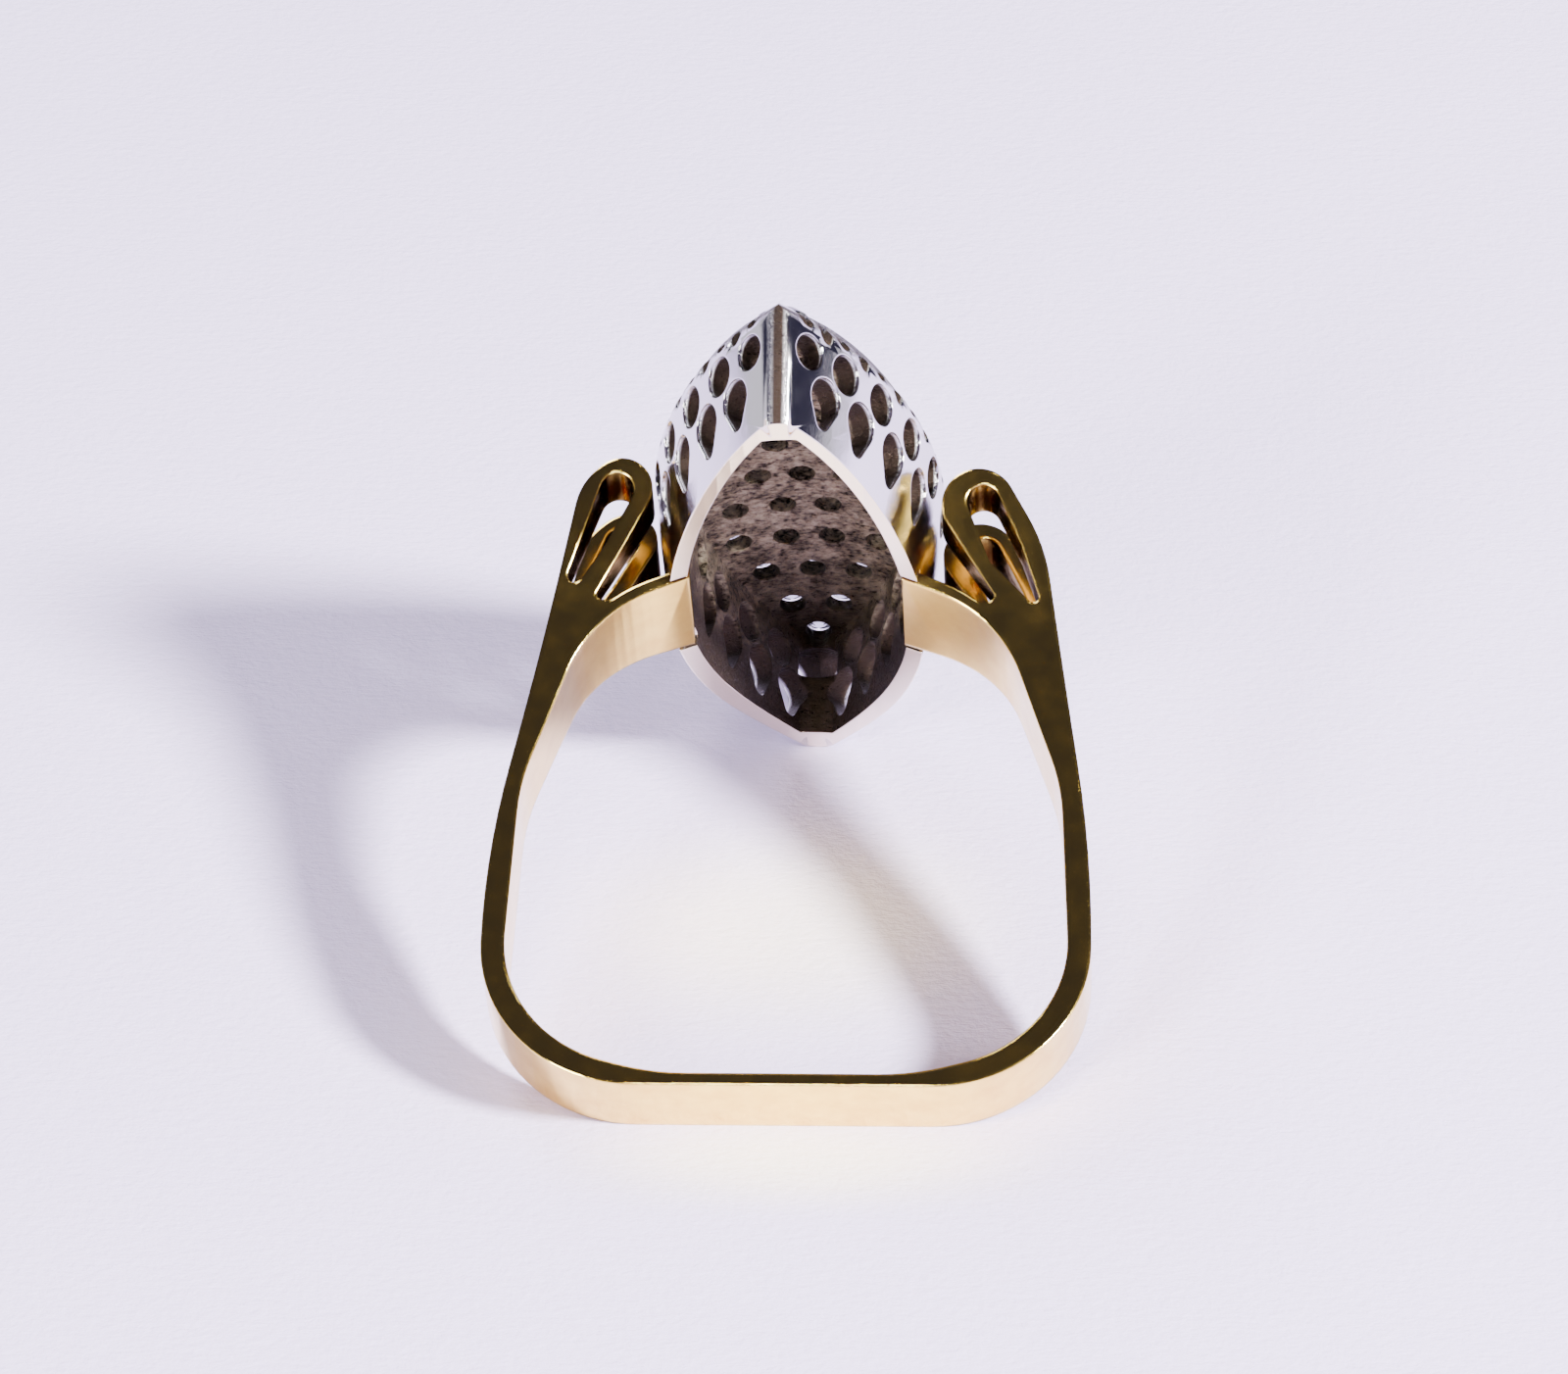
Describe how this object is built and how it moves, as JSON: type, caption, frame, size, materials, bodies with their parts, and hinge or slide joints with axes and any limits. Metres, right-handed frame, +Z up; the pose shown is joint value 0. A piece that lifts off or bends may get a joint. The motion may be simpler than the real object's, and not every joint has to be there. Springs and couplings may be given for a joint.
{
  "type": "navette ring",
  "caption": "Ring with a square stirrup shank, scrolled shoulders and a hollow boat-shaped head, pierced round its wall and paved with small round stones.",
  "frame": {"origin": "centre of the bounding box's bottom face, on the surface the ring lies on", "axes": "+Z up from the surface, +Y from the flat bottom of the shank towards the head, +X across the finger hole to the right"},
  "size_m": [0.0192, 0.0261, 0.021],
  "materials": {
    "yellow_gold": "polished",
    "white_gold": "polished",
    "stone": "polished"
  },
  "bodies": {
    "root": {"shank": "yellow_gold", "head": "white_gold", "stone_01": "stone", "stone_02": "stone", "stone_03": "stone", "stone_04": "stone", "stone_05": "stone", "stone_06": "stone", "stone_07": "stone", "stone_08": "stone", "stone_09": "stone", "stone_10": "stone", "stone_11": "stone", "stone_12": "stone", "stone_13": "stone", "stone_14": "stone", "stone_15": "stone", "stone_16": "stone", "stone_17": "stone", "stone_18": "stone", "stone_19": "stone", "stone_20": "stone", "stone_21": "stone", "stone_22": "stone", "stone_23": "stone", "stone_24": "stone", "stone_25": "stone", "stone_26": "stone", "stone_27": "stone", "stone_28": "stone", "stone_29": "stone", "stone_30": "stone", "stone_31": "stone", "stone_32": "stone", "stone_33": "stone"}
  },
  "joints": []
}
